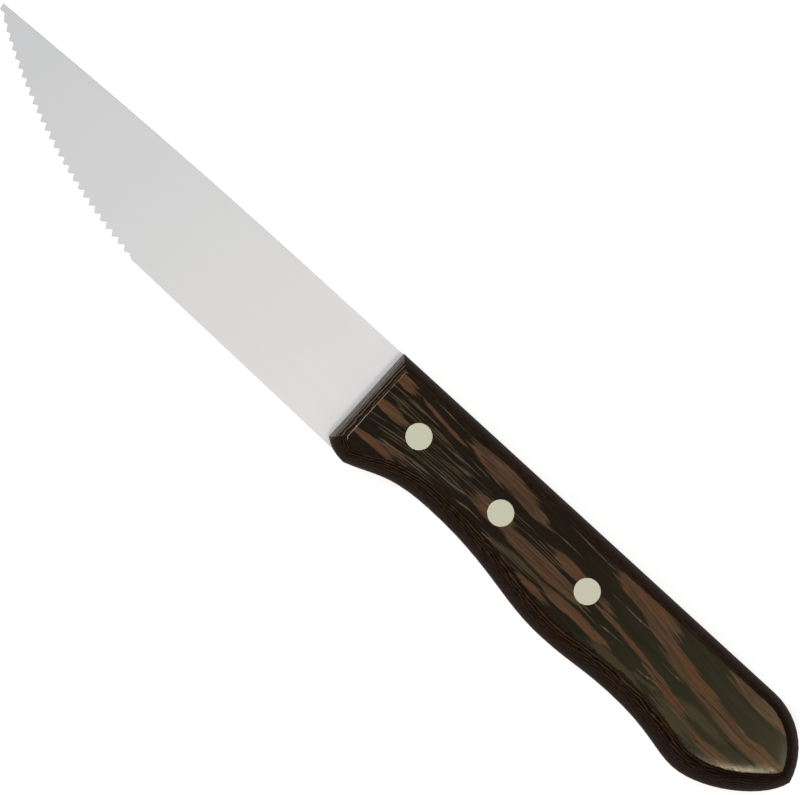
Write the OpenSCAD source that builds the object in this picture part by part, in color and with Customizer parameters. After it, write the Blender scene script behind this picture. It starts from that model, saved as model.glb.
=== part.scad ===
// Steak knife with a half-serrated blade, a full tang and a riveted laminated wood handle.
// It lies flat: X runs from the tip to the butt, Y from the cutting edge to the spine,
// Z through the thickness. The origin is under the middle of the knife, at its lowest face.

/* [Blade] */
// Length of the blade, from its tip to the front of the handle
blade_length = 122.3; // [112:0.1:136]
// Thickness of the sheet that the blade and tang are stamped from
blade_thickness = 1.5; // [1:0.1:2.5]
// Depth of the blade at the handle, below the line of the spine
heel_depth = 27; // [24:0.1:30]
// Length over which the spine curves down to the tip
spine_curve_length = 90; // [60:1:108]
// Drop of the tip below the line of the spine
tip_drop = 2; // [0.5:0.1:3]

/* [Cutting edge] */
// Distance from the tip to the start of the plain edge
plain_edge_start = 61.3; // [52:0.1:72]
// Depth of the blade at the start of the plain edge
plain_edge_depth = 25.9; // [23:0.1:27]
// Number of teeth
tooth_count = 29; // [18:1:36]
// Radius of the arc that the tooth tips lie on
belly_radius = 135.6; // [110:0.1:180]
// Distance of the first tooth behind the tip of the blade
first_tooth_at = 0.6; // [0.3:0.1:1.5]
// Depth of the first tooth below the line of the spine
first_tooth_depth = 3.6; // [3.3:0.1:5]
// Depth of the last tooth below the line of the spine
last_tooth_depth = 25.7; // [22.5:0.1:26.5]
// Length from the last tooth to the plain edge
run_out_length = 2.5; // [1.5:0.1:4]
// Depth of a full notch between two teeth
notch_depth = 1.2; // [0.6:0.05:1.6]
// Slope of the ground side of the edge, from the flat of the blade
grind_angle = 25; // [18:1:40]
// Turn of the grinding marks, from square to the spine
grind_lean = 14; // [0:1:25]
// Thickness left along the plain edge
edge_land = 0.2; // [0.1:0.05:0.4]
// Length of blade left unground in front of the handle
unground_length = 2.2; // [1:0.1:6]

/* [Handle outline] */
// Length of the handle, from its front to the point of the butt
handle_length = 132; // [124:0.1:145]
// Height of the handle's back above the spine, at the front
back_proud = 0.2; // [0:0.05:0.5]
// Fall of the handle's back from the front to the butt
back_fall = 0.5; // [0:0.05:3]
// Depth of the handle at its front corner
front_depth = 25.5; // [23:0.1:27]
// Distance from the handle's front to the point of the guard
guard_at = 6.4; // [4:0.1:9]
// Depth of the handle at the point of the guard
guard_depth = 27.7; // [25.5:0.1:31]
// Distance from the handle's front to the hollow for the first finger
finger_at = 28; // [23:0.1:34]
// Depth of the handle at the hollow
finger_depth = 22.4; // [19:0.1:25]
// Distance from the handle's front to the swell for the palm
palm_at = 67.1; // [58:0.1:75]
// Depth of the handle at the swell
palm_depth = 26.9; // [24:0.1:30]
// Distance from the handle's front to the shallow waist behind the swell
waist_at = 87; // [79:0.1:96]
// Depth of the handle at the waist
waist_depth = 25.9; // [22:0.1:29]
// Distance from the handle's front to the lobe at the butt
lobe_at = 109.4; // [99:0.1:115]
// Depth of the handle at the lobe
lobe_depth = 28.75; // [26:0.05:32]
// Depth of the point of the butt
butt_depth = 13.3; // [11:0.1:15.5]
// Radius of the arc from the back to the point of the butt
butt_radius = 17; // [15:0.1:20]

/* [Handle scales] */
// Thickness of each handle scale
scale_thickness = 7.7; // [6:0.1:10]
// Width of the rounded front, seen from above
round_front = 3.1; // [1.5:0.1:4]
// Width of the rounding along the back
round_back = 2.7; // [1.5:0.1:4]
// Width of the rounding at the front corner
round_corner = 4.2; // [2.5:0.1:5]
// Width of the rounding at the guard
round_guard = 3.5; // [2:0.1:4.5]
// Width of the rounding along the fingers' side
round_grip = 4.6; // [2:0.1:5.5]
// Width of the rounding at the lobe
round_lobe = 5.2; // [3:0.1:6]
// Width of the rounding half way from the lobe to the point of the butt
round_behind_lobe = 4.3; // [2.5:0.1:5.5]
// Width of the rounding just below the point of the butt
round_below_point = 3; // [2:0.1:4.5]
// Width of the rounding just above the point of the butt
round_above_point = 2.6; // [1.5:0.1:4]
// Slope of the rounding where it meets the flat face
crease_angle = 14; // [5:1:30]

/* [Rivets] */
// Distance from the handle's front to the first rivet
front_rivet_at = 15.4; // [12:0.1:20]
// Depth of the first rivet below the line of the spine
front_rivet_depth = 11.6; // [10:0.1:14]
// Distance from the handle's front to the second rivet
middle_rivet_at = 41.1; // [33:0.1:50]
// Distance from the handle's front to the third rivet
rear_rivet_at = 67.9; // [60:0.1:78]
// Depth of the second and third rivets below the line of the spine
rear_rivet_depth = 12; // [10:0.1:14]
// Diameter of the rivet heads
head_d = 6.3; // [5:0.1:8]
// Thickness of the rivet heads
head_thickness = 1.4; // [0.8:0.1:2.5]
// Outer diameter of the rivet sleeves
sleeve_d = 4.2; // [3.6:0.1:4.8]
// Diameter of the rivet posts
post_d = 2.6; // [1.8:0.1:3]
// Gap left between the sleeve's end and the head of the post
sleeve_end_gap = 0.8; // [0.3:0.1:2]
// Gap left between the post's end and the bottom of its sleeve
post_end_gap = 1; // [0.3:0.1:2]
// Clearance all round a rivet in its hole, and round a post in its sleeve
rivet_clearance = 0.03; // [0.01:0.01:0.1]

/* [Hidden] */
$fn = 48;
// How far a cut runs past what it cuts
overrun = 1;
// Metal left outside the tooth tips before the edge is ground
edge_stock = 0.5;
// Distance from the edge to the outer side of what the grinding takes off
grind_reach = 12;

// Where the heights change, from the face that the knife lies on
tang_z = scale_thickness;
blade_top_z = tang_z + blade_thickness;
total_z = blade_top_z + scale_thickness;

// How each curve of the lower outline leaves one point and reaches the next,
// as shares of the distance between them
guard_curve_shares = [0.27, 0.49];
hollow_curve_shares = [0.34, 0.56];
palm_curve_shares = [0.5, 0.32];
waist_curve_shares = [0.44, 0.44];
lobe_curve_shares = [0.57, 0.24];
butt_curve_shares = [0.37, 0.08, 0.45];
// Rise per unit of length where the outline leaves the front corner, and on
// each side of the guard's point
corner_slope_share = -0.76;
guard_front_slope_share = -0.05;
guard_rear_slope_share = 0.335;
// Steps along the curves, in order from the front, and up the rounded edge
curve_steps = [4, 10, 12, 6, 8, 14];
steps_behind_lobe = 9;
round_steps = 9;
spine_steps = 10;
belly_steps = 14;
// Place of the first and the last notch between two tooth tips
notch_shares = [0.32, 0.53];
// How much longer than the others the gap behind the first tooth is
first_gap_share = 0.27;
// How the notches grow from the tip
first_notch_share = 0.6;
growing_teeth_share = 0.35;
last_notch_share = 0.65;

// A cubic curve from a to d, drawn towards b and c
function curve(a, b, c, d, t) =
    a * pow(1 - t, 3) + 3 * b * t * pow(1 - t, 2) + 3 * c * t * t * (1 - t) + d * pow(t, 3);

// Points from a to b, without b, leaving along lead and arriving along trail
function leg(a, lead, b, trail, steps) =
    [for (i = [0:steps - 1]) curve(a, a + lead, b - trail, b, i / steps)];

// A leg whose two ends have the slopes given, with shares of its length
function sloped_leg(a, slope_a, b, slope_b, shares, steps) =
    let (span = b.x - a.x)
    leg(a, [1, slope_a] * shares[0] * span, b, [1, slope_b] * shares[1] * span, steps);

// The outline of the handle, with X from its front and Y from the line of the spine
front_corner = [0, -front_depth];
guard_point = [guard_at, -guard_depth];
finger_hollow = [finger_at, -finger_depth];
palm_swell = [palm_at, -palm_depth];
waist = [waist_at, -waist_depth];
lobe = [lobe_at, -lobe_depth];
butt_point = [handle_length, -butt_depth];

lower_side = concat(
    sloped_leg(front_corner, corner_slope_share, guard_point, guard_front_slope_share,
        guard_curve_shares, curve_steps[0]),
    sloped_leg(guard_point, guard_rear_slope_share, finger_hollow, 0,
        hollow_curve_shares, curve_steps[1]),
    sloped_leg(finger_hollow, 0, palm_swell, 0, palm_curve_shares, curve_steps[2]),
    sloped_leg(palm_swell, 0, waist, 0, waist_curve_shares, curve_steps[3]),
    sloped_leg(waist, 0, lobe, 0, lobe_curve_shares, curve_steps[4]),
    leg(lobe, [butt_curve_shares[0] * (butt_point.x - lobe.x), 0], butt_point,
        [butt_curve_shares[1] * (butt_point.x - lobe.x),
        butt_curve_shares[2] * (butt_point.y - lobe.y)], curve_steps[5]),
    [butt_point]);
stations = len(lower_side) - 1;
butt_station = stations - curve_steps[5];

// The back is straight as far as the arc of the butt
arc_top = back_proud - back_fall;
arc_centre_y = arc_top - butt_radius;
arc_end_angle = asin((butt_point.y - arc_centre_y) / butt_radius);
arc_centre = [butt_point.x - butt_radius * cos(arc_end_angle), arc_centre_y];
function back_y(x) = back_proud - back_fall * x / arc_centre.x;

// A point of the back behind the lobe, at a share of the way to the point of the butt
function butt_back(share) =
    let (flat = arc_centre.x - lobe.x,
        turn = 90 - arc_end_angle,
        arc = butt_radius * turn * PI / 180,
        along = share * (flat + arc))
    along < flat ? [lobe.x + along, back_y(lobe.x + along)]
        : let (angle = 90 - turn * (along - flat) / arc)
        arc_centre + butt_radius * [cos(angle), sin(angle)];

upper_side = concat(
    [for (i = [0:butt_station - 1]) [lower_side[i].x, back_y(lower_side[i].x)]],
    [for (i = [0:curve_steps[5]]) butt_back(i / curve_steps[5])]);

// The whole outline, along the back to the butt and back to the front corner
handle_ring = concat(upper_side, [for (i = [stations - 1:-1:0]) lower_side[i]]);
ring_size = len(handle_ring);

// Width of the rounded edge at each point of the outline, set at the points that
// shape it and eased in between
function ease(a, b, t) = a + (b - a) * t * t * (3 - 2 * t);
function eased(a, b, steps) = [for (i = [0:steps - 1]) ease(a, b, i / steps)];
lower_rounds = concat(
    eased(round_corner, round_guard, curve_steps[0]),
    eased(round_guard, round_grip, curve_steps[1]),
    eased(round_grip, round_grip, curve_steps[2]),
    eased(round_grip, round_lobe, curve_steps[3]),
    eased(round_lobe, round_lobe, curve_steps[4]),
    eased(round_lobe, round_behind_lobe, steps_behind_lobe),
    eased(round_behind_lobe, round_below_point, curve_steps[5] - steps_behind_lobe),
    [round_below_point]);
upper_rounds = concat(
    eased(round_back, round_back, butt_station),
    eased(round_back, round_above_point, curve_steps[5]),
    [round_above_point]);

// Width of the rounding along the edge of the outline that starts at point i
function mean_round(rounds, i) = (rounds[i] + rounds[i + 1]) / 2;
function edge_round(i) =
    i == ring_size - 1 ? round_front
        : i < stations ? mean_round(upper_rounds, i)
        : mean_round(lower_rounds, 2 * stations - 1 - i);

// Direction into the handle, square to the line from a to b
function inward(a, b) = let (d = (b - a) / norm(b - a)) [d.y, -d.x];

// The border of the flat face: each edge of the outline moved in by its own width
least_corner = 0.2;
function face_point(i) =
    let (before = (i + ring_size - 1) % ring_size,
        a = inward(handle_ring[before], handle_ring[i]),
        b = inward(handle_ring[i], handle_ring[(i + 1) % ring_size]),
        u = edge_round(before),
        v = edge_round(i),
        turn = a.x * b.y - a.y * b.x)
    abs(turn) > least_corner
        ? handle_ring[i] + [u * b.y - v * a.y, v * a.x - u * b.x] / turn
        : handle_ring[i] + (a + b) / norm(a + b) * (u + v) / 2;
// Along the back, the border's points near the front are drawn clear of the corner that the
// front's own rounding gives it, over this many widths of that rounding
corner_reach_share = 4;
corner_reach = corner_reach_share * round_front;
function clear_of_front(i, p) =
    i > 0 && i < butt_station && p.x < corner_reach
        ? [round_front + p.x * (1 - round_front / corner_reach), p.y] : p;
face_ring = [for (i = [0:ring_size - 1]) clear_of_front(i, face_point(i))];

// The lowest and highest point of the knife, to centre it
lowest_y = min(-heel_depth, min([for (p = lower_side) p.y]));
highest_y = max(0, max([for (p = upper_side) p.y]));
centre = [(blade_length + handle_length) / 2, (lowest_y + highest_y) / 2];

// The tooth tips lie on an arc from the first tooth to the last
first_tooth = [first_tooth_at, -first_tooth_depth];
last_tooth = [plain_edge_start - run_out_length, -last_tooth_depth];
tooth_chord = last_tooth - first_tooth;
belly_centre = (first_tooth + last_tooth) / 2
    + [-tooth_chord.y, tooth_chord.x] / norm(tooth_chord)
    * sqrt(pow(belly_radius, 2) - pow(norm(tooth_chord) / 2, 2));
function belly_angle(p) = atan2(p.y - belly_centre.y, p.x - belly_centre.x);
first_angle = belly_angle(first_tooth);
tooth_turn = (belly_angle(last_tooth) - first_angle) / (tooth_count - 1);
// A point on the belly, i teeth from the first and the given distance inside the arc
function belly_point(i, inside) =
    let (angle = first_angle + i * tooth_turn)
    belly_centre + (belly_radius - inside) * [cos(angle), sin(angle)];
// Place of tooth i along the belly, counted in teeth from the first
function tooth_place(i) =
    i == 0 ? 0 : i + first_gap_share * (1 - i / (tooth_count - 1));
// Place of the notch behind tooth i; as the belly turns, the teeth keep their own direction
function notch_place(i) =
    let (share = notch_shares[0] + (notch_shares[1] - notch_shares[0]) * i / (tooth_count - 1))
    tooth_place(i) * (1 - share) + tooth_place(i + 1) * share;
// Depth of the notch behind tooth i
function notch(i) =
    notch_depth * (i == tooth_count - 1 ? last_notch_share
        : min(1, ease(first_notch_share, 1,
            min(1, i / (tooth_count * growing_teeth_share)))));
teeth = [for (i = [0:tooth_count - 1], half = [0, 1])
    belly_point(half == 0 ? tooth_place(i) : notch_place(i), half * notch(i))];

// The plain edge, straight from behind the teeth to the heel
edge_fall = (heel_depth - plain_edge_depth) / (blade_length - plain_edge_start);
function edge_y(x) = -plain_edge_depth - (x - plain_edge_start) * edge_fall;

// The line that the teeth are ground to, with both ends run past the metal
belly_tangent = [sin(first_angle), -cos(first_angle)];
run_out = [plain_edge_start, edge_y(plain_edge_start)];
last_notch = teeth[len(teeth) - 1];
serration_line = concat(
    [first_tooth + belly_tangent * grind_reach],
    teeth,
    [run_out + (run_out - last_notch) / norm(run_out - last_notch) * edge_stock]);
// The line that the plain edge is ground to, outside the edge by what leaves the land
land_offset = edge_land / tan(grind_angle);
plain_line = [
    [plain_edge_start, edge_y(plain_edge_start) - land_offset],
    [blade_length - unground_length, edge_y(blade_length - unground_length) - land_offset]];

// Metal outside a line on the blade's upper face, taken off at the grinding angle, so that
// the line is the sharp edge and the ground side slopes away from it underneath
module ground_off(line, lean) {
    out = [-sin(lean), -cos(lean)] * grind_reach;
    last = len(line) - 1;
    region = concat(line, [line[last] + out, line[0] + out]);
    along = [cos(lean), -sin(lean)];
    towards_spine = [sin(lean), cos(lean)];
    translate([0, 0, blade_top_z])
        rotate([0, 0, -lean])
            rotate([90 - grind_angle, 0, 0])
                linear_extrude(height = 2 * (heel_depth + grind_reach), center = true)
                    polygon([for (p = region)
                        [p * along, p * towards_spine * sin(grind_angle)]]);
}

// Outline of the blade before its edge is ground, run back into the tang
module blade_outline() {
    root_x = blade_length + guard_at;
    spine = [for (i = [0:spine_steps])
        let (share = i / spine_steps)
        [spine_curve_length * (1 - share), -tip_drop * share * share]];
    below_tip = first_tooth - [edge_stock / 2, edge_stock];
    belly = [for (i = [0:belly_steps])
        belly_point(i * (tooth_count - 1) / belly_steps, -edge_stock)];
    edge_from = plain_edge_start - run_out_length / 2;
    polygon(concat([[root_x, 0]], spine, [below_tip], belly,
        [[edge_from, edge_y(edge_from)], [root_x, edge_y(root_x)]]));
}

// A hole for a rivet, from one height to another
module rivet_hole(d, from_z, to_z) {
    translate([0, 0, from_z])
        cylinder(d = d + 2 * rivet_clearance, h = to_z - from_z);
}

// Places its children at each rivet of the handle
module at_rivet(place) {
    translate([blade_length + place.x, place.y, 0]) children();
}
front_rivet = [front_rivet_at, -front_rivet_depth];
middle_rivet = [middle_rivet_at, -rear_rivet_depth];
rear_rivet = [rear_rivet_at, -rear_rivet_depth];
rivets = [front_rivet, middle_rivet, rear_rivet];

// Moves the knife from its tip and spine to its own middle
module centred() {
    translate([-centre.x, -centre.y, 0]) children();
}

module blade_and_tang() {
    color("gainsboro")
        centred()
            difference() {
                union() {
                    translate([0, 0, tang_z])
                        linear_extrude(height = blade_thickness)
                            blade_outline();
                    translate([blade_length, 0, tang_z])
                        linear_extrude(height = blade_thickness)
                            polygon(handle_ring);
                }
                ground_off(serration_line, grind_lean);
                ground_off(plain_line, atan(edge_fall));
                for (place = rivets)
                    at_rivet(place)
                        rivet_hole(sleeve_d, tang_z - overrun, blade_top_z + overrun);
            }
}

// One scale with its tang side at height zero and its flat face on top. Rings of the
// outline shrink to the face's border up a quarter of an ellipse, cut short at the crease.
module scale_body() {
    rings = [for (k = [0:round_steps])
        let (angle = 90 - (90 - crease_angle) * k / round_steps,
            share = (1 - sin(angle)) / (1 - sin(crease_angle)),
            z = scale_thickness * cos(angle) / cos(crease_angle))
        for (i = [0:ring_size - 1])
            let (p = handle_ring[i] + (face_ring[i] - handle_ring[i]) * share)
            [p.x, p.y, z]];
    top = round_steps * ring_size;
    // Index of the outline's lower side at station i
    function below(i) = 2 * stations - i;
    sides = [for (k = [0:round_steps - 1], i = [0:ring_size - 1])
        let (a = k * ring_size + i,
            b = k * ring_size + (i + 1) % ring_size)
        for (face = [[a, b, b + ring_size], [a, b + ring_size, a + ring_size]]) face];
    flat = [for (i = [0:stations - 1])
        for (face = [[i, i + 1, below(i)], [i + 1, below(i + 1), below(i)]])
            if (face[0] != face[1]) face];
    polyhedron(rings, concat(sides,
        [for (face = flat) [face[0] + top, face[1] + top, face[2] + top]],
        [for (face = flat) [face[2], face[1], face[0]]]));
}

module lower_scale() {
    color("#33261c")
        centred()
            difference() {
                translate([blade_length, 0, tang_z])
                    mirror([0, 0, 1])
                        scale_body();
                for (place = rivets)
                    at_rivet(place) {
                        rivet_hole(head_d, -overrun, head_thickness);
                        rivet_hole(sleeve_d, -overrun, tang_z + overrun);
                    }
            }
}

module upper_scale() {
    color("#3a2b1f")
        centred()
            difference() {
                translate([blade_length, 0, blade_top_z])
                    scale_body();
                for (place = rivets)
                    at_rivet(place) {
                        rivet_hole(head_d, total_z - head_thickness, total_z + overrun);
                        rivet_hole(sleeve_d, blade_top_z - overrun, total_z + overrun);
                    }
            }
}

// The half with the tube, its head flush with the lower face
module rivet_sleeve(place) {
    tube_top = total_z - head_thickness - sleeve_end_gap;
    color("#b9b8a4")
        centred()
            at_rivet(place)
                difference() {
                    union() {
                        cylinder(d = head_d, h = head_thickness);
                        cylinder(d = sleeve_d, h = tube_top);
                    }
                    rivet_hole(post_d, head_thickness, tube_top + overrun);
                }
}

// The half with the solid post, driven into the tube, its head flush with the upper face
module rivet_post(place) {
    post_bottom = head_thickness + post_end_gap;
    color("#c4c3af")
        centred()
            at_rivet(place) {
                translate([0, 0, total_z - head_thickness])
                    cylinder(d = head_d, h = head_thickness);
                translate([0, 0, post_bottom])
                    cylinder(d = post_d, h = total_z - post_bottom);
            }
}

module front_rivet_sleeve() rivet_sleeve(front_rivet);
module front_rivet_post() rivet_post(front_rivet);
module middle_rivet_sleeve() rivet_sleeve(middle_rivet);
module middle_rivet_post() rivet_post(middle_rivet);
module rear_rivet_sleeve() rivet_sleeve(rear_rivet);
module rear_rivet_post() rivet_post(rear_rivet);

blade_and_tang();
lower_scale();
upper_scale();
front_rivet_sleeve();
front_rivet_post();
middle_rivet_sleeve();
middle_rivet_post();
rear_rivet_sleeve();
rear_rivet_post();
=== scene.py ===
# %% [markdown]
# # A steak knife in Blender
# The knife is seen straight from above: a pale satin blade with a serrated belly, and a dark
# handle of laminated wood held by three flush rivets. The imported CAD model gives every piece
# its true size and place. This lesson gives the pieces their fine edges and their finishes,
# and sets the light that shows them.

# %% Load the CAD model
import math

import bmesh
import bpy
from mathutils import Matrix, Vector


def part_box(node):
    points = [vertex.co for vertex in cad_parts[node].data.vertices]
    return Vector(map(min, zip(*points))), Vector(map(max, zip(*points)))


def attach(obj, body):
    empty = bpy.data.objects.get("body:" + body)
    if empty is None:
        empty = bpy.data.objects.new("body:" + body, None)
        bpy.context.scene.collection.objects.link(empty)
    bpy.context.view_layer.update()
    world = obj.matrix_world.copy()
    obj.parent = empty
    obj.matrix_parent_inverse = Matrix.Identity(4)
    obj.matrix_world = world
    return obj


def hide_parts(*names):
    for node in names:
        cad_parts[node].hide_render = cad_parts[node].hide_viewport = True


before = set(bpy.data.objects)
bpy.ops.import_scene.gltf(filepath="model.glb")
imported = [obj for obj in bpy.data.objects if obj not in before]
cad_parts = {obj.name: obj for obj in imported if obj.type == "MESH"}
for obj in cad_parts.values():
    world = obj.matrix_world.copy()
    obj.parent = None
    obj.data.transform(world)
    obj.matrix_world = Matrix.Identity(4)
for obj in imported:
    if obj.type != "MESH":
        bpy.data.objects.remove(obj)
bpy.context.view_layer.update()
mm = 0.001
print("nodes:", ", ".join(sorted(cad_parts)))

# %% [markdown]
# Later steps measure from the handle's front, its back and its flat top, so these places are
# read from the CAD pieces once. The figure of the wood and the dome of its face are set out
# from them, and so they follow the model's pieces.

# %% Places that later steps refer to
scale_low, scale_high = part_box("upper_scale")
blade_low, blade_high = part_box("blade_and_tang")
handle_front = scale_low.x
handle_back = scale_high.y
top = scale_high.z
print("handle from", round(handle_front / mm, 1), "to", round(scale_high.x / mm, 1), "mm")

# %% [markdown]
# The camera looks straight down from far off, so that the knife shows almost no perspective.
# It is turned about its own axis, which lays the knife across the picture from the upper
# left to the lower right. The lens follows from the width that the picture takes in.

# %% Camera
camera_turn = math.radians(42.2)
camera_height = 5.0
picture_width = 183.9 * mm
picture_centre = Vector((1.3, 6.395)) * mm

camera_data = bpy.data.cameras.new("camera")
camera = bpy.data.objects.new("camera", camera_data)
bpy.context.scene.collection.objects.link(camera)
camera.location = (picture_centre.x, picture_centre.y, camera_height)
camera.rotation_euler = (0, 0, camera_turn)
camera_data.lens = camera_data.sensor_width * (camera_height - blade_high.z) / picture_width
camera_data.clip_end = 3 * camera_height
bpy.context.scene.camera = camera
print("lens", round(camera_data.lens), "mm")

# %% [markdown]
# A finish is a tree of nodes, and a long one reads badly when each node takes four lines. The
# class below gives each kind of node a short call that takes values or other nodes' outputs,
# so that a recipe for wood or steel reads like a formula.

# %% Short calls for building node trees
def screen(red, green, blue):
    """A colour given as it reads on a screen, 0 to 255, turned into the linear light that shaders use."""
    def linear(value):
        value = value / 255
        return value / 12.92 if value <= 0.04045 else ((value + 0.055) / 1.055) ** 2.4
    return (linear(red), linear(green), linear(blue), 1.0)


class Recipe:
    """A node tree, with a short call for each kind of node that a finish is mixed from."""

    def __init__(self, tree):
        self.tree = tree
        tree.nodes.clear()

    def node(self, kind, **settings):
        made = self.tree.nodes.new("ShaderNode" + kind)
        for name, value in settings.items():
            setattr(made, name, value)
        return made

    def feed(self, socket, value):
        if isinstance(value, bpy.types.NodeSocket):
            self.tree.links.new(value, socket)
        else:
            socket.default_value = value

    def math(self, operation, *values):
        made = self.node("Math", operation=operation)
        for socket, value in zip(made.inputs, values):
            self.feed(socket, value)
        return made.outputs[0]

    def vector(self, operation, *values):
        made = self.node("VectorMath", operation=operation)
        sockets = [made.inputs[0], made.inputs["Scale"]] if operation == "SCALE" else made.inputs
        for socket, value in zip(sockets, values):
            self.feed(socket, value)
        return made.outputs[0]

    def grade(self, value, low, high, start=0.0, end=1.0):
        """start below low, end above high, and a smooth change between."""
        made = self.node("MapRange", interpolation_type="SMOOTHSTEP")
        for socket, number in zip(made.inputs, (value, low, high, start, end)):
            self.feed(socket, number)
        return made.outputs[0]

    def place(self, x, y, z=0.0):
        made = self.node("CombineXYZ")
        for socket, value in zip(made.inputs, (x, y, z)):
            self.feed(socket, value)
        return made.outputs[0]

    def split(self, vector):
        made = self.node("SeparateXYZ")
        self.feed(made.inputs[0], vector)
        return made.outputs[0], made.outputs[1], made.outputs[2]

    def noise(self, place, seed, sizes, detail=2.0, roughness=0.5):
        """Noise whose grains measure sizes along x, y and z. It is about even round 0, from -1 to 1."""
        own = self.node("Mapping", vector_type="POINT")
        self.feed(own.inputs["Vector"], place)
        self.feed(own.inputs["Location"], (seed, seed, seed))
        self.feed(own.inputs["Scale"], [1 / size for size in sizes])
        made = self.node("TexNoise")
        self.feed(made.inputs["Vector"], own.outputs[0])
        self.feed(made.inputs["Scale"], 1.0)
        self.feed(made.inputs["Detail"], detail)
        self.feed(made.inputs["Roughness"], roughness)
        return self.math("MULTIPLY_ADD", made.outputs[0], 4.0, -2.0)

    def mix(self, share, first, second):
        """The first colour at share 0 and the second at 1. A colour mix has its own numbered sockets."""
        made = self.node("Mix", data_type="RGBA")
        self.feed(made.inputs["Factor"], share)
        self.feed(made.inputs[6], first)
        self.feed(made.inputs[7], second)
        return made.outputs[2]

    def curve(self, value, points, width, height):
        """A smooth curve through points, which lie from 0 to width and from 0 to height."""
        share = self.math("DIVIDE", value, width)
        made = self.node("FloatCurve")
        line = made.mapping.curves[0]
        for point, (x, y) in zip(line.points, (points[0], points[-1])):
            point.location = (x / width, y / height)
        for x, y in points[1:-1]:
            line.points.new(x / width, y / height)
        made.mapping.update()
        self.feed(made.inputs["Value"], share)
        return self.math("MULTIPLY", made.outputs[0], height)

    def seen(self):
        """1 for the camera and for what gloss and glass show, 0 for the light that falls on things."""
        rays = self.node("LightPath").outputs
        reflected = self.math("MAXIMUM", rays["Is Glossy Ray"], rays["Is Transmission Ray"])
        return self.math("MAXIMUM", rays["Is Camera Ray"], reflected)

    def bump(self, height, strength, distance):
        made = self.node("Bump")
        for name, value in (("Strength", strength), ("Distance", distance), ("Height", height)):
            self.feed(made.inputs[name], value)
        return made.outputs[0]

    def show(self, shader, output="OutputMaterial"):
        self.tree.links.new(shader.outputs[0], self.node(output).inputs["Surface"])


# %% [markdown]
# The light is a white tent, as for glossy tableware. The world is its cloth, with one dark
# round opening overhead for the camera. Polished wood reflects the opening in its flat face,
# which keeps its colours deep, while satin steel gathers the whole tent and stays pale. What
# the camera and the reflections see is white at strength 1.

# %% World
tent_white = 1.0
tent_light = 0.8
opening_radius = math.radians(20)
opening_blur = 0.25
opening_white = 0.1

world = bpy.data.worlds.new("tent")
bpy.context.scene.world = world
world.use_nodes = True
tent = Recipe(world.node_tree)
direction = tent.node("TexCoord").outputs["Generated"]
upward = tent.split(tent.vector("NORMALIZE", direction))[2]
opening = tent.grade(upward, math.cos(opening_radius * (1 + opening_blur)),
                     math.cos(opening_radius * (1 - opening_blur)))
cloth = tent.math("MULTIPLY_ADD", tent.seen(), tent_white - tent_light, tent_light)
strength = tent.math("MULTIPLY", cloth, tent.math("MULTIPLY_ADD", opening, opening_white - 1, 1.0))
background = tent.node("Background")
tent.feed(background.inputs["Strength"], strength)
tent.show(background, "OutputWorld")
print("tent white", tent_white, "and light", tent_light)

# %% [markdown]
# Three soft lamps shine through the cloth. The one beyond the butt stands at twice the slope
# of the handle's domed end, so it shows as a bright line along that border. The one beside it
# is weak and lights the rest of the end. The one beyond the tip lights the front of the handle
# and most of the blade. Each is given by its direction and by how bright it looks.

# %% Lamps
lamp_distance = 1.2
# Watts that make a square metre of lamp look as bright as a white of strength 1.
watts_of_white = 4


def lamp(name, azimuth, elevation, side, radiance, tint):
    """A square soft lamp of that radiance, which looks at the knife from that direction in degrees."""
    data = bpy.data.lights.new(name, "AREA")
    data.size = side
    data.energy = radiance * side * side * watts_of_white
    data.color = tint
    made = bpy.data.objects.new(name, data)
    bpy.context.scene.collection.objects.link(made)
    a, e = math.radians(azimuth), math.radians(elevation)
    way = Vector((math.cos(a) * math.cos(e), math.sin(a) * math.cos(e), math.sin(e)))
    made.location = way * lamp_distance
    made.rotation_euler = way.to_track_quat("Z", "Y").to_euler()
    print(name, round(data.energy, 2), "W")


lamp("butt_lamp", -42, 64, 0.13, 36.0, (1.0, 0.84, 0.58))
lamp("side_lamp", 12, 65, 0.16, 7.0, (1.0, 0.83, 0.6))
lamp("tip_lamp", 178, 70, 0.2, 17.0, (0.975, 0.99, 1.0))

# %% [markdown]
# The floor is pale and plain. It gives back light as matt paint does, so the knife throws a
# soft shadow on it, and for the camera and the reflections a little glow lifts it to white. It
# lies a hair below the knife, because two faces in one plane would flicker.

# %% Floor
floor_size = 30.0
floor_tone = 0.5
floor_glow = 0.72
floor_gap = 0.02 * mm

floor_mesh = bpy.data.meshes.new("floor")
bm = bmesh.new()
bmesh.ops.create_grid(bm, x_segments=1, y_segments=1, size=floor_size / 2)
bmesh.ops.translate(bm, vec=(0, 0, -floor_gap), verts=bm.verts)
bm.to_mesh(floor_mesh)
bm.free()
floor = bpy.data.objects.new("floor", floor_mesh)
bpy.context.scene.collection.objects.link(floor)
paint = bpy.data.materials.new("floor_paint")
paint.use_nodes = True
matt = Recipe(paint.node_tree)
diffuse = matt.node("BsdfDiffuse")
diffuse.inputs["Color"].default_value = (floor_tone, floor_tone, floor_tone, 1)
glow = matt.node("Emission")
matt.feed(glow.inputs["Strength"], matt.math("MULTIPLY", matt.seen(), floor_glow))
both = matt.node("AddShader")
matt.tree.links.new(diffuse.outputs[0], both.inputs[0])
matt.tree.links.new(glow.outputs[0], both.inputs[1])
matt.show(both)
floor_mesh.materials.append(paint)
print("floor", floor_size, "m wide")
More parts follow.
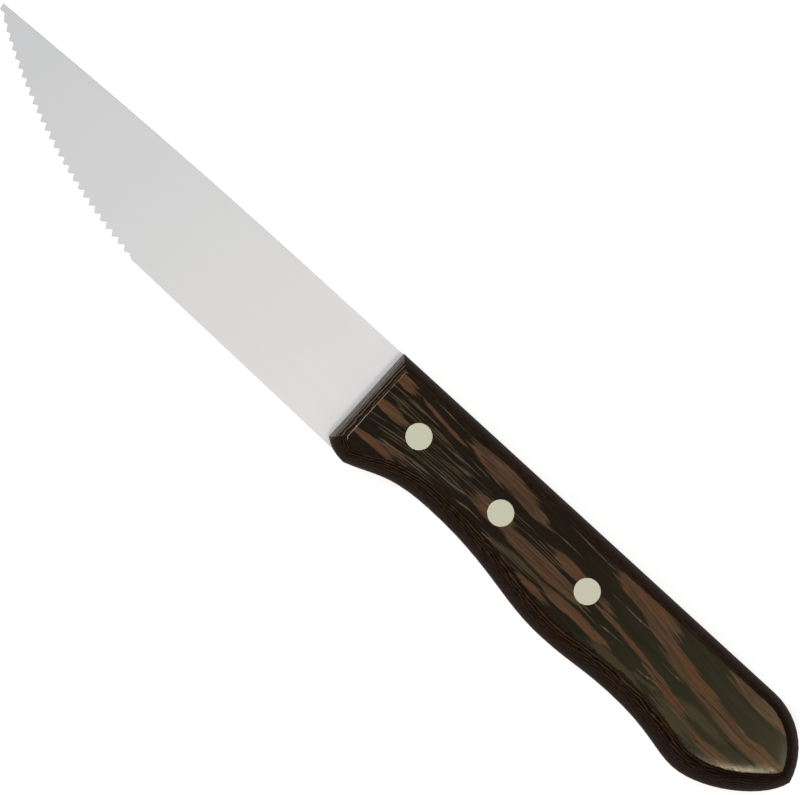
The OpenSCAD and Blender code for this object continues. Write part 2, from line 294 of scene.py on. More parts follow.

# %% [markdown]
# Laminated wood is a stack of thin dyed veneers, glued under pressure and then ground to
# shape. On the flat face the grinding cuts the top veneers at a very low angle, so brown and
# olive black ones show as long ragged streaks. On the rounded edges it cuts them steeply,
# and they show as fine parallel lines. So the finish has two parts, a figure for the face
# and plies for the edges, and the depth below the face tells them apart.

# %% [markdown]
# The figure of this handle is its own, so its streaks are drawn one by one. Each streak is a
# long ellipse, placed in millimetres on the face. Separate lists hold the brown veneers, the
# redder parts of them, olive patches, zones of fine lines, and single pale and dark lines. Two
# curves say how the fibres fall towards the butt.

# %% Wood: the figure's streaks
# Each streak: millimetres behind the handle's front, below its back, half length, half width,
# and fall per millimetre towards the butt.
brown_streaks = [
    (5.2, 4.7, 3.4, 1.4, 0.0), (17.0, 5.4, 8.0, 0.42, 0.08), (7.0, 12.0, 5.4, 1.3, 0.0),
    (13.0, 18.4, 3.6, 0.8, -0.1), (8.5, 20.2, 7.0, 0.75, -0.02), (36.0, 5.0, 11.0, 2.1, 0.03),
    (44.5, 6.4, 7.5, 1.4, 0.12), (39.5, 13.2, 6.5, 2.3, 0.0), (56.0, 14.7, 14.5, 1.9, 0.04),
    (61.5, 10.7, 6.0, 1.3, 0.05), (58.0, 20.4, 5.0, 0.8, 0.06), (69.0, 18.3, 11.0, 1.4, 0.03),
    (80.5, 4.9, 10.5, 2.1, 0.05), (86.0, 7.0, 8.5, 2.2, 0.28), (95.0, 9.8, 9.0, 2.1, 0.23),
    (104.0, 11.6, 9.0, 1.8, 0.15), (114.5, 13.4, 9.5, 1.9, 0.12), (123.5, 13.6, 7.0, 2.1, 0.05),
    (76.5, 13.3, 6.0, 0.65, 0.08), (85.5, 14.6, 7.5, 0.8, 0.17), (96.5, 17.0, 8.5, 1.25, 0.18),
    (118.0, 4.6, 13.0, 1.9, 0.03), (115.0, 20.6, 9.0, 1.5, 0.0), (73.0, 11.6, 3.0, 0.6, 0.1),
]
red_streaks = [
    (5.0, 4.6, 4.0, 1.6, 0.0), (17.0, 5.6, 7.0, 1.0, 0.08), (6.5, 12.0, 4.5, 1.4, 0.0),
    (8.0, 20.2, 6.0, 0.9, 0.0), (44.0, 3.6, 9.0, 0.9, 0.0), (58.0, 20.4, 4.0, 0.8, 0.0),
    (61.5, 10.4, 5.0, 1.3, 0.0), (72.0, 18.8, 9.0, 1.3, 0.03), (82.0, 4.6, 6.0, 1.3, 0.05),
    (99.0, 10.0, 9.0, 1.4, 0.18), (96.5, 17.6, 6.0, 1.1, 0.15), (82.0, 14.0, 5.0, 0.7, 0.12),
]
olive_streaks = [
    (83.0, 20.0, 9.0, 1.2, 0.0), (104.0, 19.9, 10.0, 1.5, 0.1), (108.0, 16.6, 8.0, 1.4, 0.05),
    (30.0, 4.4, 6.0, 1.2, 0.0), (52.0, 17.6, 9.0, 0.8, 0.0), (101.0, 21.8, 7.0, 0.9, 0.12),
    (46.0, 19.6, 6.0, 0.5, 0.1), (91.0, 18.6, 5.0, 0.4, -0.05),
]
lined_zones = [
    (16.0, 9.0, 14.0, 1.9, 0.0), (26.0, 12.8, 15.0, 2.9, -0.02), (12.0, 15.0, 12.0, 1.5, -0.03),
    (14.0, 18.6, 14.0, 1.5, -0.14), (52.0, 11.2, 12.0, 1.5, 0.05), (52.0, 18.2, 12.0, 1.6, 0.0),
    (34.0, 7.4, 7.0, 0.6, 0.0), (92.0, 20.5, 10.0, 0.8, 0.0), (10.0, 7.2, 8.0, 0.7, 0.0),
]
pale_lines = [
    (64.0, 4.05, 8.5, 0.14, 0.055), (57.5, 7.0, 5.5, 0.12, 0.02), (80.5, 8.95, 8.5, 0.13, 0.03),
    (78.5, 15.9, 4.0, 0.12, 0.0), (95.0, 12.8, 4.0, 0.12, 0.02), (12.0, 7.0, 6.5, 0.14, 0.0),
    (26.5, 8.95, 7.0, 0.12, 0.01), (28.0, 14.8, 9.0, 0.14, -0.08), (16.0, 17.45, 9.5, 0.14, -0.11),
    (35.0, 16.7, 4.5, 0.13, -0.02), (44.0, 18.3, 6.0, 0.13, -0.05), (19.0, 3.3, 9.0, 0.12, 0.04),
    (106.5, 3.9, 3.0, 0.14, 0.15), (114.0, 5.8, 6.0, 0.14, 0.1), (91.5, 17.6, 4.5, 0.12, 0.0),
    (103.0, 19.4, 5.0, 0.12, 0.05), (70.0, 16.1, 6.0, 0.1, 0.04),
]
dark_lines = [
    (31.0, 5.4, 3.5, 0.14, 0.02), (122.0, 13.1, 4.5, 0.11, 0.01), (119.0, 16.2, 7.5, 0.11, 0.01),
    (112.5, 20.9, 6.5, 0.11, 0.0), (108.0, 12.7, 9.0, 0.08, 0.06), (57.0, 12.9, 9.0, 0.2, 0.05),
    (51.0, 10.6, 8.0, 0.2, 0.04), (56.0, 16.9, 7.0, 0.14, -0.02), (127.0, 14.2, 2.0, 0.11, 0.0),
    (66.0, 19.7, 7.0, 0.12, 0.0), (94.5, 16.6, 4.0, 0.14, 0.08), (42.0, 3.9, 4.5, 0.11, 0.0),
]
# How far a fibre has fallen, below the back and along the fingers' side, at each place
# behind the front.
back_fibre = [(0, 0.0), (10, 0.2), (20, 0.8), (30, 1.0), (45, 1.3), (60, 1.8), (70, 2.4), (80, 3.6),
              (88, 5.4), (96, 7.2), (104, 8.8), (112, 10.0), (120, 10.8), (132, 11.3)]
grip_fibre = [(0, 3.2), (10, 1.6), (20, 0.4), (30, 0.0), (45, 0.4), (60, 0.9), (70, 1.2), (80, 1.8),
              (88, 2.8), (96, 3.9), (104, 4.7), (112, 5.2), (120, 5.4), (132, 5.6)]
# The length that the figure and its two curves are drawn on, and a height above all their falls.
figure_length, figure_fall = 132.0, 12.0
handle_length = (scale_high.x - scale_low.x) / mm
print(len(brown_streaks), "brown streaks on a handle of", round(handle_length, 1), "mm")

# %% [markdown]
# Every point of the scale is found by its distance behind the front, below the back and under
# the flat face. A streak's field is a ball squeezed into an ellipse, 1 in the middle and 0 on
# the border. A smooth maximum joins the fields, so that streaks which touch melt together.
# Near the butt the flat face rises in a light dome, whose start, end and height are set here
# because both the finish and the shape follow them.

# %% Wood: where a point lies in the laminate
streak_reach = 1.6
streak_melt = 0.07
face_dome_start, face_dome_end = 92.0, 122.0
face_dome = 0.45


def laminate_place(wood, face_z, inward):
    """Distance behind the front, distance below the back, and depth under the flat face, all in mm."""
    corner = wood.node("TexCoord").outputs["Object"]
    corner = wood.vector("SUBTRACT", corner, (handle_front, handle_back, face_z))
    return wood.split(wood.vector("MULTIPLY", corner, (1 / mm, -1 / mm, inward / mm)))


def streak_field(wood, place, streaks):
    """1 in the middle of a streak, 0 on its border and less outside it; the largest of all streaks."""
    field = 0.0
    for behind, below, half_length, half_width, fall in streaks:
        own = wood.node("Mapping", vector_type="TEXTURE")
        wood.feed(own.inputs["Vector"], place)
        own.inputs["Location"].default_value = (behind, below, 0)
        own.inputs["Rotation"].default_value = (0, 0, math.atan(fall))
        own.inputs["Scale"].default_value = (streak_reach * half_length, streak_reach * half_width, 1)
        ball = wood.node("TexGradient", gradient_type="SPHERICAL")
        wood.feed(ball.inputs["Vector"], own.outputs[0])
        field = wood.math("SMOOTH_MAX", field, ball.outputs["Fac"], streak_melt)
    return wood.math("MULTIPLY_ADD", field, streak_reach, 1 - streak_reach)


# %% [markdown]
# The face starts with its dark ground and adds lines, olive patches and brown veneers. Noise
# that is long along the fibres and thin across them frays the streaks' ends, as sanding does
# where it breaks through a veneer. The same fibres give the small pores and the fine bump.

# %% Wood: the figure of the flat face
line_pitch = 0.74


def face_figure(wood, along, below):
    """The face's colour, and the heights of its fine lines and pores."""
    fall_back = wood.curve(along, back_fibre, figure_length, figure_fall)
    fall_grip = wood.curve(along, grip_fibre, figure_length, figure_fall)
    towards_grip = wood.grade(below, 4.0, 18.0)
    fall = wood.math("ADD", wood.math("MULTIPLY", fall_back, wood.math("SUBTRACT", 1.0, towards_grip)),
                     wood.math("MULTIPLY", fall_grip, towards_grip))
    across = wood.math("SUBTRACT", below, fall)
    fibre = wood.place(along, across)

    # Fibres: long thin noise that frays the streaks' ends, and slow waves that bend them.
    fray = wood.noise(fibre, 0.0, (14.0, 0.5, 1.0), 3.0, 0.6)
    bend = wood.noise(fibre, 3.0, (16.0, 3.0, 1.0), 1.0)
    hair = wood.noise(fibre, 7.0, (6.0, 0.22, 1.0), 2.0, 0.6)
    shift = wood.math("MULTIPLY_ADD", bend, 0.35, wood.math("MULTIPLY", hair, 0.16))
    frayed = wood.place(wood.math("MULTIPLY_ADD", fray, 3.4, along), wood.math("ADD", below, shift))
    bent = wood.place(along, wood.math("ADD", below, shift))

    # The dark ground is near black, and towards the butt it is painted greener and paler: a painted
    # reflection of the gloss there.
    drift = wood.noise(fibre, 11.0, (20.0, 2.0, 1.0))
    drifted = wood.math("MULTIPLY_ADD", drift, 9.0, along)
    ground = wood.mix(wood.grade(drifted, 50.0, 108.0), screen(28, 22, 14), screen(44, 42, 29))
    ground = wood.mix(wood.grade(drifted, 96.0, 130.0), ground, screen(57, 55, 41))

    # Fine lines, in step over a few centimetres as the veneers' pores are.
    swell = wood.noise(fibre, 31.0, (24.0, 2.4, 1.0), 1.0)
    phase = wood.math("MULTIPLY_ADD", swell, 1.1, wood.math("DIVIDE", across, line_pitch))
    pace = wood.math("SINE", wood.math("MULTIPLY", phase, math.tau))
    grain = wood.noise(fibre, 15.0, (11.0, 0.34, 1.0), 2.0, 0.6)
    lines = wood.math("MULTIPLY_ADD", pace, 0.38, wood.math("MULTIPLY", grain, 0.8))
    lined = wood.grade(streak_field(wood, bent, lined_zones), -0.15, 0.3)
    line_share = wood.math("MULTIPLY", wood.grade(lines, 0.0, 0.62),
                           wood.math("MULTIPLY_ADD", lined, 0.72, 0.06))
    line_colour = wood.mix(wood.grade(drift, -0.7, 0.7), screen(92, 74, 56), screen(84, 76, 62))
    ground = wood.mix(line_share, ground, line_colour)
    olive = wood.grade(streak_field(wood, frayed, olive_streaks), -0.1, 0.35)
    ground = wood.mix(wood.math("MULTIPLY", olive, 0.65), ground, screen(74, 64, 46))

    # The brown veneers vary from grey brown to red brown, with darker pores.
    brown = wood.grade(streak_field(wood, frayed, brown_streaks), -0.04, 0.1)
    red = wood.grade(streak_field(wood, frayed, red_streaks), -0.3, 0.5)
    tone = wood.noise(fibre, 19.0, (12.0, 0.9, 1.0), 4.0, 0.6)
    brown_colour = wood.mix(wood.grade(tone, -0.7, 0.7), screen(68, 51, 38), screen(93, 71, 53))
    brown_colour = wood.mix(wood.math("MULTIPLY", red, 0.65), brown_colour, screen(96, 66, 45))
    # Painted sheen: the brown veneers are painted paler towards the butt, as the gloss there lights them.
    painted_sheen = wood.grade(drifted, 104.0, 128.0)
    brown_colour = wood.mix(wood.math("MULTIPLY", painted_sheen, 0.5), brown_colour, screen(108, 88, 62))
    pores = wood.noise(fibre, 23.0, (7.0, 0.15, 1.0), 1.0)
    brown_colour = wood.mix(wood.grade(pores, 0.35, 1.0, 0.0, 0.6), brown_colour, screen(38, 27, 16))
    brown_colour = wood.mix(wood.grade(lines, 0.1, -0.6, 0.0, 0.35), brown_colour, screen(46, 34, 22))
    colour = wood.mix(brown, ground, brown_colour)

    pale = streak_field(wood, bent, pale_lines)
    colour = wood.mix(wood.grade(pale, -0.1, 0.5, 0.0, 0.75), colour, screen(104, 92, 72))
    dark = streak_field(wood, bent, dark_lines)
    colour = wood.mix(wood.grade(dark, -0.1, 0.5, 0.0, 0.85), colour, screen(26, 18, 10))

    # Fine fibres over everything.
    fibres = wood.noise(fibre, 35.0, (7.0, 0.17, 1.0), 3.0, 0.7)
    fibres = wood.math("MULTIPLY_ADD", fibres, wood.grade(drifted, 60.0, 100.0, 0.34, 0.14), 1.0)
    return wood.vector("SCALE", colour, wood.math("MAXIMUM", fibres, 0.4)), lines, pores


# %% [markdown]
# On the rounded edges the colour follows the depth under the face. A sine of the depth gives
# dark and brown plies by turns, and noise lets them wander and break, more so on the fingers'
# side. The handle's front is cut across the fibres. Its plies are wider and paler, and the end
# grain drinks less dye and is greyer; both are partly a painted reflection of the tip lamp.
# The corner at the guard carries a painted highlight.

# %% Wood: the plies of the rounded edges
top_ply = 0.27
guard_corner = 25.6
mitre_slope = 0.95
# The pale colour of the painted highlights on the guard corner and on the front crease.
painted_glint_colour = screen(150, 134, 116)


def edge_plies(wood, behind, below, depth):
    """The rounded edges' colour, and the depth under the domed face."""
    dome = wood.grade(behind, face_dome_start, face_dome_end, 0.0, face_dome)
    under = wood.math("MAXIMUM", wood.math("SUBTRACT", depth, dome), 0.0)
    facing = wood.split(wood.node("TexCoord").outputs["Normal"])[0]

    # Thin veneers near the face and thicker ones further in.
    spot = wood.place(behind, below, depth)
    front = wood.grade(facing, -0.45, -0.7)
    wander = wood.noise(spot, 0.0, (7.0, 2.5, 5.0), 4.0, 0.6)
    ply = wood.math("MULTIPLY_ADD", front, 0.09, top_ply)
    growth = wood.math("MULTIPLY_ADD", front, -0.15, 0.77)
    count = wood.math("POWER", wood.math("DIVIDE", under, ply), growth)
    unrest = wood.math("MULTIPLY", wood.grade(under, 0.05, 0.5, 0.15, 0.5),
                       wood.grade(below, 11.0, 17.0, 1.0, 1.7))
    unrest = wood.math("MULTIPLY", unrest, wood.math("MULTIPLY_ADD", front, -0.5, 1.0))
    layer = wood.math("MULTIPLY_ADD", wander, unrest, count)
    wave = wood.math("SINE", wood.math("MULTIPLY", layer, -math.tau))
    broken = wood.noise(spot, 5.0, (3.0, 0.8, 0.25), 3.0, 0.65)
    bright = wood.grade(wood.math("MULTIPLY_ADD", broken, 0.9, wave), -0.4, 1.3)

    steep = wood.grade(wood.math("MULTIPLY_ADD", broken, 0.25, under), 0.55, 1.7)
    steep = wood.math("MULTIPLY", steep, wood.math("MULTIPLY_ADD", front, -0.8, 1.0))
    # On the front the plies are painted paler, partly for the end grain and partly as a painted reflection
    # of the tip lamp.
    dark_ply = wood.mix(front, screen(17, 8, 2), screen(26, 19, 13))
    bright_ply = wood.mix(wood.grade(behind, 104.0, 117.0), screen(63, 45, 33), screen(40, 27, 21))
    bright_ply = wood.mix(front, bright_ply, screen(104, 89, 73))
    side_colour = wood.mix(bright, screen(22, 13, 10), screen(56, 40, 33))
    colour = wood.mix(steep, wood.mix(bright, dark_ply, bright_ply), side_colour)

    # End grain on the front, where the fibres are cut across, painted greyer and paler also as a painted
    # reflection of the tip lamp.
    fibres = wood.noise(spot, 9.0, (0.5, 0.8, 0.12), 3.0, 0.7)
    banded = wood.grade(wood.math("MULTIPLY_ADD", wave, 0.4, fibres), -1.0, 1.1)
    end_grain_reflection_colour = wood.mix(banded, screen(78, 71, 62), screen(166, 159, 149))
    end_grain_and_reflection = wood.grade(wood.math("MULTIPLY_ADD", wander, 0.15, behind), 1.9, 0.3)
    colour = wood.mix(wood.math("MULTIPLY", front, end_grain_and_reflection), colour, end_grain_reflection_colour)

    # A painted highlight lies along the corner where the front meets the guard.
    mitre = wood.math("MULTIPLY_ADD", behind, mitre_slope, below)
    off_mitre = wood.math("ABSOLUTE", wood.math("SUBTRACT", mitre, guard_corner))
    painted_glint = wood.math("MULTIPLY", wood.grade(off_mitre, 0.32, 0.1), wood.grade(behind, 1.4, 0.9))
    return wood.mix(wood.math("MULTIPLY", painted_glint, 0.7), colour, painted_glint_colour), under


# %% [markdown]
# Face and edges meet in one material. A ragged dark line runs along the face's border, with
# small nicks at the butt, and a painted highlight lies along the front crease. The flat face is
# polished and the rounded edges are only waxed, so each scale gets the recipe twice, each time
# with its own gloss. The photo doesn't show the lower scale, so its figure is the same one
# turned end for end, as from another cut of the same block.

# %% Wood: the finish
dark_border_colour = screen(22, 12, 5)


def laminated_wood(name, face_z, inward, gloss, turned_length=None):
    """The material for a flat face at face_z. The gloss is a roughness and a specular level.
    With turned_length the figure runs the other way, from that length to 0."""
    material = bpy.data.materials.new(name)
    material.use_nodes = True
    wood = Recipe(material.node_tree)
    behind, below, depth = laminate_place(wood, face_z, inward)
    along = behind if turned_length is None else wood.math("SUBTRACT", turned_length, behind)
    face_colour, lines, pores = face_figure(wood, along, below)
    edge_colour, under = edge_plies(wood, behind, below, depth)

    # A ragged dark line runs along the face's border, wider at small nicks near the butt.
    from_border = wood.node("Attribute", attribute_name="from_border").outputs["Fac"]
    flat = wood.place(behind, below)
    ragged = wood.noise(flat, 13.0, (2.2, 1.1, 1.0), 3.0, 0.6)
    uneven = wood.math("MULTIPLY", wood.grade(below, 12.0, 16.0, 0.3, 1.0),
                       wood.grade(ragged, -0.2, 1.0))
    reach = wood.math("MULTIPLY_ADD", uneven, 0.75, 0.16)
    at_butt = wood.math("MULTIPLY", wood.grade(behind, 98.0, 110.0), wood.grade(below, 13.0, 15.0))
    nicks = wood.noise(flat, 17.0, (0.9, 0.5, 1.0), 2.0, 0.6)
    nicks = wood.math("MULTIPLY", at_butt, wood.grade(nicks, -0.3, 0.7))
    reach = wood.math("MULTIPLY_ADD", nicks, 0.7, reach)
    dark_border_line = wood.grade(wood.math("SUBTRACT", from_border, reach), 0.08, -0.04)
    at_front = wood.grade(behind, 3.9, 3.5)
    dark_border_share = wood.math("MULTIPLY", dark_border_line, wood.math("MULTIPLY_ADD", at_front, -0.85, 0.85))
    colour = wood.mix(dark_border_share, face_colour, dark_border_colour)

    # A painted highlight along the front crease, pale and ragged.
    painted_glint = wood.math("MULTIPLY", at_front, wood.grade(from_border, 0.3, 0.12))
    painted_glint = wood.math("MULTIPLY", painted_glint, wood.grade(ragged, -1.2, 0.4))
    colour = wood.mix(painted_glint, colour, painted_glint_colour)
    colour = wood.mix(wood.grade(under, 0.004, 0.03), colour, edge_colour)

    roughness, specular = gloss
    patchy = wood.noise(flat, 27.0, (3.0, 0.5, 1.0))
    gloss_here = wood.math("MULTIPLY_ADD", patchy, 0.02, roughness)
    relief = wood.bump(wood.math("MULTIPLY_ADD", pores, -0.5, lines), strength=0.3, distance=0.02 * mm)
    shader = wood.node("BsdfPrincipled")
    wood.feed(shader.inputs["Base Color"], colour)
    wood.feed(shader.inputs["Roughness"], gloss_here)
    shader.inputs["Specular IOR Level"].default_value = specular
    wood.feed(shader.inputs["Normal"], relief)
    wood.show(shader)
    print(name, "has", len(wood.tree.nodes), "nodes")
    return material


glosses = {"polished": (0.17, 0.25), "waxed": (0.6, 0.02)}
upper_wood = [laminated_wood("upper_wood_" + name, top, -1, gloss)
              for name, gloss in glosses.items()]
lower_wood = [laminated_wood("lower_wood_" + name, 0.0, 1, gloss, turned_length=128.0)
              for name, gloss in glosses.items()]

# %% [markdown]
# The blade is stainless sheet with a fine satin finish. Its scratches run along the blade,
# too fine to see one by one, and only make the pale grey a little silky. Its colour is painted
# slowly brighter from the tip to the heel, as a painted gradient of light. The spine and the
# rim of the tang keep the duller skin of the cut. The rivets are nickel silver, which is
# warmer and a little green.

# %% Steel
def satin_metal(name, colour, roughness, scratch_size, tone_change, painted_light_rise=0.0, rim_tone=1.0):
    """Metal with fine scratches. Its colour is painted brighter with each mm of x, a painted gradient of
    light, and upright rims get rim_tone of the tone.
    """
    material = bpy.data.materials.new(name)
    material.use_nodes = True
    metal = Recipe(material.node_tree)
    spot = metal.vector("MULTIPLY", metal.node("TexCoord").outputs["Object"], (1 / mm, 1 / mm, 1 / mm))
    scratches = metal.noise(spot, 0.0, scratch_size, 3.0, 0.6)
    streaky = metal.grade(scratches, -1.0, 1.0, 1 - tone_change, 1 + tone_change)
    # Painted light: the base colour brightens along x, a painted gradient of light.
    painted_rise = metal.math("MULTIPLY_ADD", metal.split(spot)[0], painted_light_rise, 1.0)
    facing = metal.split(metal.node("TexCoord").outputs["Normal"])[2]
    level = metal.grade(metal.math("ABSOLUTE", facing), 0.4, 0.85, rim_tone, 1.0)
    tone = metal.math("MULTIPLY", level, metal.math("MULTIPLY", streaky, painted_rise))
    shader = metal.node("BsdfPrincipled")
    metal.feed(shader.inputs["Base Color"], metal.vector("SCALE", colour, tone))
    shader.inputs["Metallic"].default_value = 1.0
    metal.feed(shader.inputs["Roughness"], metal.math("MULTIPLY_ADD", scratches, 0.03, roughness))
    metal.feed(shader.inputs["Normal"], metal.bump(scratches, strength=0.1, distance=0.005 * mm))
    metal.show(shader)
    print(name, "has", len(metal.tree.nodes), "nodes")
    return material


# The blade's colour is painted brighter towards the heel, as painted light.
blade_steel = satin_metal("satin_steel", (0.65, 0.661, 0.688), roughness=0.45,
                          scratch_size=(14.0, 0.12, 0.12), tone_change=0.015,
                          painted_light_rise=0.0026, rim_tone=0.7)
rivet_metal = satin_metal("satin_nickel_silver", (0.484, 0.5, 0.411), roughness=0.5,
                          scratch_size=(1.5, 0.1, 0.1), tone_change=0.02)

# %% [markdown]
# The CAD meshes are loose triangles. A copy of each is merged, its flat triangles are
# dissolved into whole faces and the others joined in pairs, so that its real edges can be
# found by the angle of their faces, and softened.

# %% Copies of the CAD pieces
hair_width = 0.001 * mm
flat_angle = math.radians(0.3)
pair_angle, pair_shape = math.radians(40), math.radians(80)
level_share = 0.9999


def whole_copy(node):
    """A bmesh of the node, merged, with flat areas as single faces."""
    bm = bmesh.new()
    bm.from_mesh(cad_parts[node].data)
    bmesh.ops.remove_doubles(bm, verts=bm.verts, dist=hair_width)
    bmesh.ops.dissolve_limit(bm, angle_limit=flat_angle, verts=bm.verts, edges=bm.edges)
    bmesh.ops.join_triangles(
        bm, faces=[f for f in bm.faces if len(f.verts) == 3],
        angle_face_threshold=pair_angle, angle_shape_threshold=pair_shape)
    return bm


def finish_piece(bm, name, node, materials, sharp_angle=30):
    """Turns the bmesh into the piece that stands for a CAD node."""
    mesh = bpy.data.meshes.new(name)
    bm.normal_update()
    for face in bm.faces:
        face.smooth = True
        face.material_index = 0
    bm.to_mesh(mesh)
    bm.free()
    if "custom_normal" in mesh.attributes:
        mesh.attributes.remove(mesh.attributes["custom_normal"])
    mesh.set_sharp_from_angle(angle=math.radians(sharp_angle))
    for material in materials:
        mesh.materials.append(material)
    piece = bpy.data.objects.new(name, mesh)
    bpy.context.scene.collection.objects.link(piece)
    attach(piece, "root")
    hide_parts(node)
    print(name, len(mesh.vertices), "vertices,", len(mesh.polygons), "faces")
    return piece


def is_level(face):
    return abs(face.normal.z) > level_share


def is_level_at(face, z):
    return is_level(face) and abs(face.calc_center_median().z - z) < hair_width


def soften(bm, edges, width):
    """Bevels the edges with two segments, as a tiny round."""
    bmesh.ops.bevel(bm, geom=edges, offset=width, offset_type="OFFSET", segments=2,
                    profile=0.5, affect="EDGES", material=-1, clamp_overlap=True)


# %% [markdown]
# Each scale was ground to the tang's outline and rounded by hand on a belt. Its flat face ends
# in a crisp crease all round, and near the butt the face is lightly domed. The CAD solid has
# the outline, the rounds and the crease. Here the face is rebuilt: it is taken off, rings grow
# inwards from its border and carry the dome, and the middle is filled again. Then a fine bevel
# softens the crease and the rim that meets the tang. The distance from the border is kept on
# the mesh, for the ragged line in the wood's finish.

# %% Scales
crease_width = 0.15 * mm
rim_width = 0.08 * mm
dome_start = handle_front + face_dome_start * mm
dome_end = handle_front + face_dome_end * mm
ring_steps = (0.3, 0.4, 0.6, 0.9, 1.2, 1.6, 2.0)
dome_reach = sum(ring_steps)
narrow_share = 0.1
slice_width, slice_snap = 2.5 * mm, 0.02 * mm
dome_centre = (103.0, 13.4)
# How deep under its top the flat face and its bevel reach, and how level they are.
face_depth = (face_dome + 0.1) * mm
polished_slope = 0.965
rivet_reach = 0.75


def is_rim_of(edge, face_z, slope):
    """True if the edge joins a level face at that height to a steep one, whose normal rises by
    no more than slope."""
    if len(edge.link_faces) != 2:
        return False
    levels = [is_level_at(f, face_z) for f in edge.link_faces]
    if sum(levels) != 1:
        return False
    other = edge.link_faces[levels.index(False)]
    return abs(other.normal.z) <= slope


rivet_boxes = [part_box(rivet + "_rivet_post") for rivet in ("front", "middle", "rear")]


def near_rivet(edge):
    middle = (edge.verts[0].co + edge.verts[1].co) / 2
    return any((middle - (low + high) / 2).xy.length < rivet_reach * (high.x - low.x)
               for low, high in rivet_boxes)


def dome_share(x):
    """How far the dome has come up at x: 0 in front of its start and 1 at the butt."""
    share = ((x - handle_front) / mm - face_dome_start) / (face_dome_end - face_dome_start)
    share = max(0.0, min(1.0, share))
    return share * share * (3 - 2 * share)


def inward_ways(edges):
    """For each vertex of a closed border, the level way into the face, half way between its edges' own."""
    ways = {}
    for edge in edges:
        face = edge.link_faces[0]
        along = (edge.verts[1].co - edge.verts[0].co).normalized()
        across = Vector((-along.y, along.x, 0))
        side = face.calc_center_median() - edge.verts[0].co
        if side.dot(across) > 0:
            across = -across
        for vert in edge.verts:
            ways[vert] = ways.get(vert, Vector()) + across
    return {vert: 2 * way / way.length_squared for vert, way in ways.items()}


def grow_ring(bm, ring, moves):
    """Extrudes a chain of edges, and moves each new vertex by what moves says of the old one."""
    before = {v for e in ring for v in e.verts}
    made = bmesh.ops.extrude_edge_only(bm, edges=ring)["geom"]
    grown = [g for g in made
             if isinstance(g, bmesh.types.BMEdge) and not any(v in before for v in g.verts)]
    came_from = {}
    for vert in {v for e in grown for v in e.verts}:
        came_from[vert] = next(e.other_vert(vert) for e in vert.link_edges if e.other_vert(vert) in before)
    for vert, old in came_from.items():
        vert.co += moves(old)
    return grown, came_from


def slice_dome(bm):
    """Cuts the dome's length into short slices, so that long straight edges can follow its curve."""
    x = dome_start
    while x < dome_end:
        bmesh.ops.bisect_plane(bm, geom=[*bm.verts, *bm.edges, *bm.faces], dist=slice_snap,
                               plane_co=(x, 0, 0), plane_no=(1, 0, 0))
        x += slice_width


def dress_scale(node, face_z, tang_z, materials):
    """The piece for a scale whose flat face lies at face_z and whose back lies on the tang at tang_z."""
    bm = whole_copy(node)
    slice_dome(bm)
    from_border = bm.verts.layers.float.new("from_border")
    bm.normal_update()
    face = [f for f in bm.faces if is_level_at(f, face_z)]
    bmesh.ops.delete(bm, geom=face, context="FACES")
    border = [e for e in bm.edges if e.is_boundary and not near_rivet(e)]
    ways = inward_ways(border)
    inward = 1 if tang_z > face_z else -1

    for vert in bm.verts:
        lowered = 1 - dome_share(vert.co.x) * face_dome * mm / abs(tang_z - face_z)
        vert.co.z = tang_z + (vert.co.z - tang_z) * lowered
        vert[from_border] = dome_reach if any(near_rivet(e) for e in vert.link_edges) else 0

    # Rings grow inwards from the border: evenly along the straight part, and towards the
    # middle of the butt round its end, where they rise to the crown of the face.
    middle = Vector((handle_front + dome_centre[0] * mm, handle_back - dome_centre[1] * mm, 0))
    ring, reach = border, 0.0
    for number, step in enumerate(ring_steps):
        def inwards(old):
            share = dome_share(old.co.x)
            towards = Vector((middle.x - old.co.x, middle.y - old.co.y, 0)).normalized()
            way = ways[old] * (1 - share) + towards * share
            length = step if number == 0 else step * (narrow_share + (1 - narrow_share) * share)
            return way * length * mm
        ring, came_from = grow_ring(bm, ring, inwards)
        ways = {vert: ways[old] for vert, old in came_from.items()}
        reach += step
        left = 1 - reach / dome_reach
        for vert, old in came_from.items():
            vert.co.z = face_z + inward * face_dome * mm * dome_share(vert.co.x) * left ** 3
            vert[from_border] = old[from_border] + (vert.co - old.co).length / mm

    loose = [e for e in bm.edges if e.is_boundary]
    bmesh.ops.triangle_fill(bm, edges=loose, use_beauty=True, use_dissolve=False,
                            normal=(0, 0, -inward))
    bmesh.ops.recalc_face_normals(bm, faces=bm.faces)
    rim = [e for e in bm.edges if is_rim_of(e, tang_z, slope=0.5) and not near_rivet(e)]
    print(node, "has", len(border), "border edges,", len(rim), "rim edges and",
          sum(e.is_boundary for e in bm.edges), "open ones")
    soften(bm, border, crease_width)
    soften(bm, rim, rim_width)
    bm.normal_update()
    piece = finish_piece(bm, node + "_dressed", node, materials)
    for polygon in piece.data.polygons:
        shallow = abs(polygon.center.z - face_z) < face_depth
        polygon.material_index = 0 if shallow and abs(polygon.normal.z) > polished_slope else 1
    return piece


dress_scale("upper_scale", top, scale_low.z, upper_wood)
dress_scale("lower_scale", 0.0, blade_low.z, lower_wood)

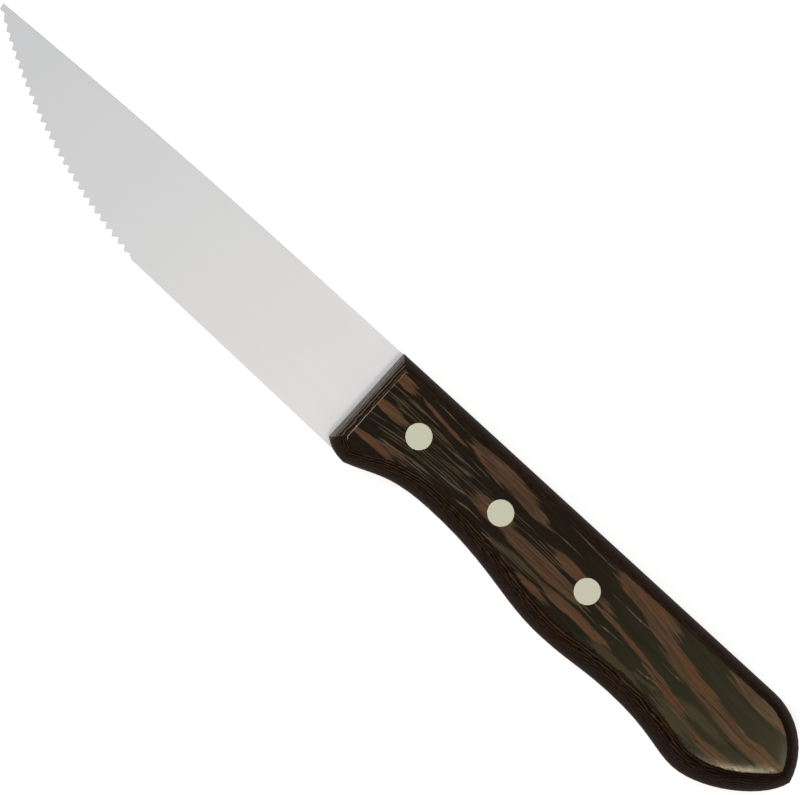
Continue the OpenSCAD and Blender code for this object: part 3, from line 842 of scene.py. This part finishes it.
# %% [markdown]
# Blade and tang are one stamping. Tumbling takes the sharpness off the spine and the outline
# of the tang, so those edges get a tiny round. The ground edge and the teeth stay as sharp as
# the model has them.

# %% Blade
sheet_edge = 0.12 * mm
upright_slope = 0.05
spine_slope = 0.3


def dress_blade():
    """The piece for the blade and tang, with the upright edges of its spine and tang softened."""
    bm = whole_copy("blade_and_tang")
    bm.normal_update()
    soft = []
    for edge in bm.edges:
        if len(edge.link_faces) != 2 or near_rivet(edge):
            continue
        levels = [is_level(f) for f in edge.link_faces]
        if sum(levels) != 1:
            continue
        side = edge.link_faces[levels.index(False)]
        upright = abs(side.normal.z) < upright_slope
        middle_x = (edge.verts[0].co.x + edge.verts[1].co.x) / 2
        if upright and (side.normal.y > spine_slope or middle_x > handle_front):
            soft.append(edge)
    soften(bm, soft, sheet_edge)
    print("blade:", len(soft), "edges softened")
    return finish_piece(bm, "blade_and_tang_dressed", "blade_and_tang",
                        [blade_steel], sharp_angle=20)


dress_blade()

# %% [markdown]
# A compression rivet has two halves, a sleeve pressed in from below and a post from above.
# Their heads were ground flush with the wood and polished with it, which leaves a hardly
# visible round on each rim. A ring inset in the head's disc keeps the shading of its flat
# clean beside that round.

# %% Rivets
head_edge = 0.1 * mm


def dress_rivet(node, face_z):
    """The piece for half a rivet whose head shows at face_z."""
    bm = whole_copy(node)
    bm.normal_update()
    disc = [f for f in bm.faces if is_level_at(f, face_z)]
    rim = [e for e in bm.edges if is_rim_of(e, face_z, slope=0.1)]
    bmesh.ops.inset_region(bm, faces=disc, thickness=2 * head_edge, depth=0, use_boundary=True)
    soften(bm, rim, head_edge)
    return finish_piece(bm, node + "_dressed", node, [rivet_metal])


for rivet in ("front", "middle", "rear"):
    dress_rivet(rivet + "_rivet_post", top)
    dress_rivet(rivet + "_rivet_sleeve", 0.0)

# %% [markdown]
# Colours should come out as they were set, so the picture is shown with the plain standard
# transform.

# %% Colour display
bpy.context.scene.view_settings.view_transform = "Standard"
print("shown as", bpy.context.scene.view_settings.view_transform)
